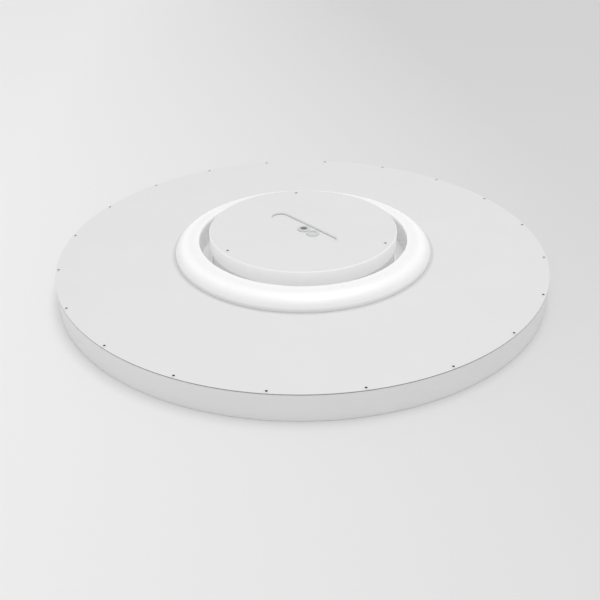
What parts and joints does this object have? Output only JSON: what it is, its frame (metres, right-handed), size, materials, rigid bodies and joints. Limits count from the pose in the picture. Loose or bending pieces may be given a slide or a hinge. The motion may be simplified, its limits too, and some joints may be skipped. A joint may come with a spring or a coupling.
{
  "type": "ceiling luminaire",
  "caption": "Round flat ceiling light with an opal halo ring round a twist-lock ceiling cap, a screwed rim and a light-side diffuser.",
  "frame": {"origin": "middle of the light side's lowest plane, which is the surface it lies on with the ceiling side up", "axes": "+Z points to the ceiling; X runs along the long pocket of the ceiling cap"},
  "size_m": [0.6, 0.6, 0.0592],
  "materials": {
    "white_paint": "fine satin powder coat",
    "opal": "satin opal acrylic",
    "foam": "closed-cell foam",
    "white_plastic": "moulded matte",
    "led_board": "white solder mask",
    "grommet_rubber": "soft matte",
    "zinc": "zinc plated",
    "screw": "white painted head",
    "circuit_board": "green solder mask",
    "orange_plastic": "moulded",
    "brown_wire": "smooth insulation",
    "blue_wire": "smooth insulation",
    "green_wire": "smooth insulation",
    "white_wire": "smooth insulation"
  },
  "bodies": {
    "luminaire": {"side_ring": "white_paint", "back_plate": "white_paint", "carrier_pan": "white_paint", "halo_collar": "white_paint", "drum": "white_paint", "front_diffuser": "opal", "halo_ring": "opal", "diffuser_gasket": "foam", "edge_reflector": "white_plastic", "halo_reflector": "white_plastic", "driver_case": "white_plastic", "driver_lid": "white_plastic", "terminal_block": "white_plastic", "cable_clamp": "white_plastic", "led_board_1": "led_board", "led_board_2": "led_board", "led_board_3": "led_board", "led_board_4": "led_board", "halo_board": "led_board", "earth_stud": "zinc", "clamp_screw_1": "zinc", "clamp_screw_2": "zinc", "rim_screw_01": "screw", "rim_screw_02": "screw", "rim_screw_03": "screw", "rim_screw_04": "screw", "rim_screw_05": "screw", "rim_screw_06": "screw", "rim_screw_07": "screw", "rim_screw_08": "screw", "rim_screw_09": "screw", "rim_screw_10": "screw", "rim_screw_11": "screw", "rim_screw_12": "screw", "rim_screw_13": "screw", "rim_screw_14": "screw", "rim_screw_15": "screw", "rim_screw_16": "screw", "rim_screw_17": "screw", "rim_screw_18": "screw", "rim_screw_19": "screw", "rim_screw_20": "screw", "driver_board": "circuit_board", "line_wire": "brown_wire", "neutral_wire": "blue_wire", "earth_wire": "green_wire", "led_lead": "white_wire", "halo_lead": "white_wire"},
    "cap": {"ceiling_cap": "white_paint", "cable_grommet_1": "grommet_rubber", "cable_grommet_2": "grommet_rubber", "lock_catch_1": "zinc", "lock_catch_2": "zinc", "lock_catch_3": "zinc", "cap_screw_1": "screw", "cap_screw_2": "screw", "cap_screw_3": "screw"},
    "line_button": {"line_button": "orange_plastic"},
    "neutral_button": {"neutral_button": "orange_plastic"},
    "earth_button": {"earth_button": "orange_plastic"}
  },
  "joints": [
    {"name": "cap_twist", "type": "hinge", "parent": "luminaire", "child": "cap", "pos_m": [0, 0, 0.0592], "axis": [0, 0, 1], "range_deg": [0, 14]},
    {"name": "line_press", "type": "slide", "parent": "luminaire", "child": "line_button", "axis": [0, 0, -1], "range_m": [0, 0.0018], "stiffness_N_per_m": 1500, "springref_m": -0.001},
    {"name": "neutral_press", "type": "slide", "parent": "luminaire", "child": "neutral_button", "axis": [0, 0, -1], "range_m": [0, 0.0018], "stiffness_N_per_m": 1500, "springref_m": -0.001},
    {"name": "earth_press", "type": "slide", "parent": "luminaire", "child": "earth_button", "axis": [0, 0, -1], "range_m": [0, 0.0018], "stiffness_N_per_m": 1500, "springref_m": -0.001}
  ]
}
